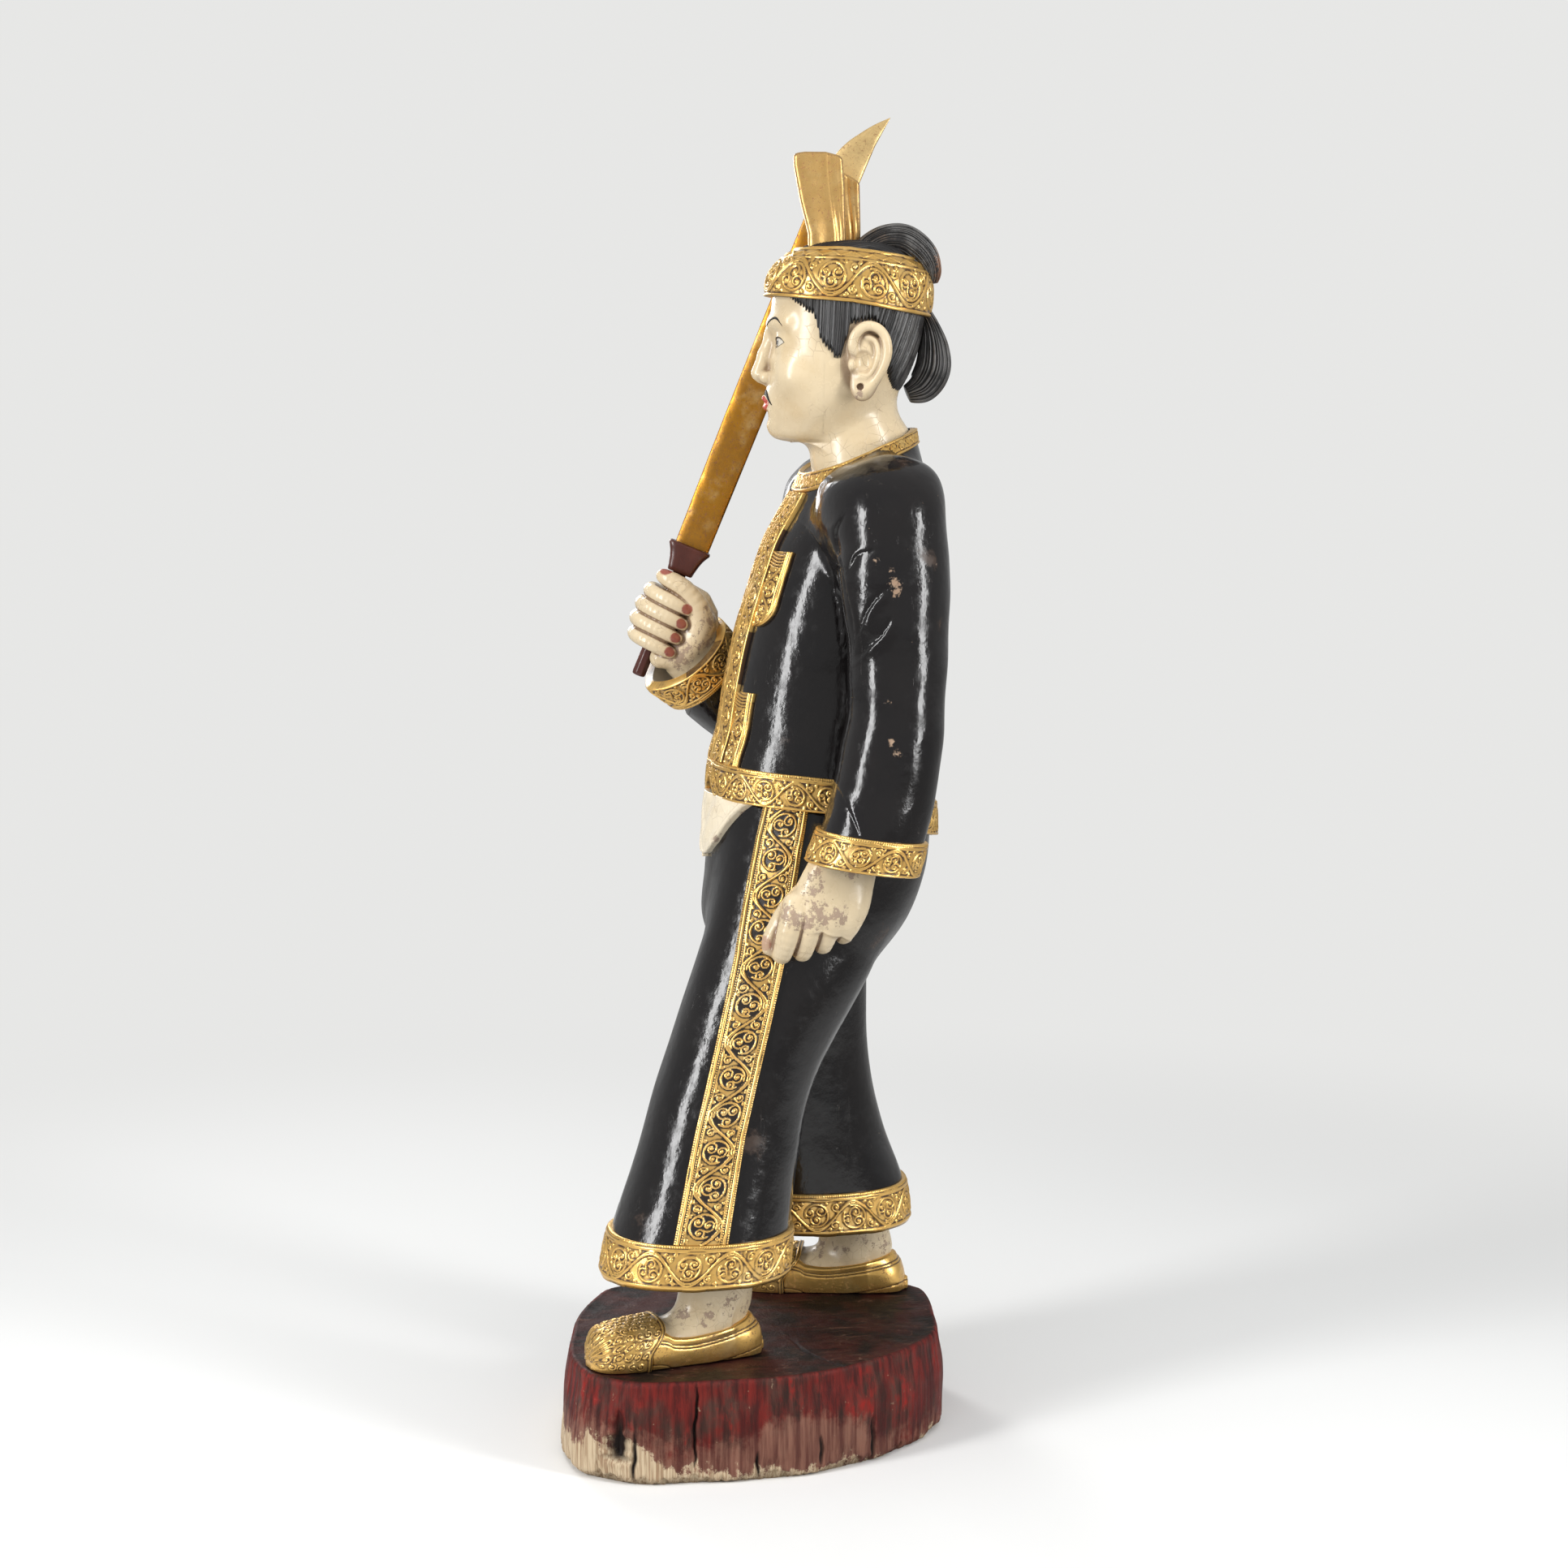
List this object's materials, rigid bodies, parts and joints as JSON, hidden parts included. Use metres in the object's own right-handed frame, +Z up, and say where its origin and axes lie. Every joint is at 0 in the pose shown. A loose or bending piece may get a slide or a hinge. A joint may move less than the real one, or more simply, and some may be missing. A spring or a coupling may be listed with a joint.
{
  "type": "carved spirit figure",
  "caption": "Standing carved and lacquered spirit figure with gilt-banded jacket and wide trousers, holding a sword upright in its fist, on a plinth cut from a log.",
  "frame": {"origin": "middle of the flat underside of the log plinth", "axes": "+Z up; the figure faces -Y and its left side is +X"},
  "size_m": [0.4578, 0.4576, 1.4792],
  "materials": {
    "black_lacquer": "glossy black lacquer, worn and chipped",
    "gilding": "gold leaf over moulded lacquer, rubbed",
    "cream_lacquer": "satin cream lacquer with fine cracks",
    "hair_black": "matt black, incised strands",
    "red_wood": "worn red paint on wood",
    "bare_wood": "bare wood",
    "pale_lining": "matt pale paint"
  },
  "bodies": {
    "figure": {"trousers": "black_lacquer", "jacket": "black_lacquer", "left_sleeve": "black_lacquer", "right_sleeve": "black_lacquer", "left_slipper": "gilding", "left_toe_cap": "gilding", "right_slipper": "gilding", "right_toe_cap": "gilding", "left_hem_band": "gilding", "right_hem_band": "gilding", "left_side_band": "gilding", "right_side_band": "gilding", "jacket_hem_band": "gilding", "collar_band": "gilding", "left_front_band": "gilding", "right_front_band": "gilding", "left_upper_frog": "gilding", "left_lower_frog": "gilding", "right_upper_frog": "gilding", "right_lower_frog": "gilding", "left_cuff": "gilding", "right_cuff": "gilding", "headband": "gilding", "turban_end_left": "gilding", "turban_end_right": "gilding", "left_foot": "cream_lacquer", "right_foot": "cream_lacquer", "shirt_tail": "cream_lacquer", "left_hand": "cream_lacquer", "right_hand": "cream_lacquer", "head": "cream_lacquer", "hair": "hair_black", "topknot": "hair_black", "hair_loop": "hair_black", "plinth": "red_wood", "foot_dowel_left": "bare_wood", "foot_dowel_right": "bare_wood", "shoulder_dowel_left": "bare_wood", "shoulder_dowel_right": "bare_wood", "right_sleeve_lining": "pale_lining"},
    "sword": {"sword_blade": "gilding", "sword_guard": "red_wood", "sword_grip": "red_wood"}
  },
  "joints": [
    {"name": "sword_lift", "type": "slide", "parent": "figure", "child": "sword", "axis": [0.066, 0.374, 0.9251], "range_m": [0, 0.12]}
  ]
}
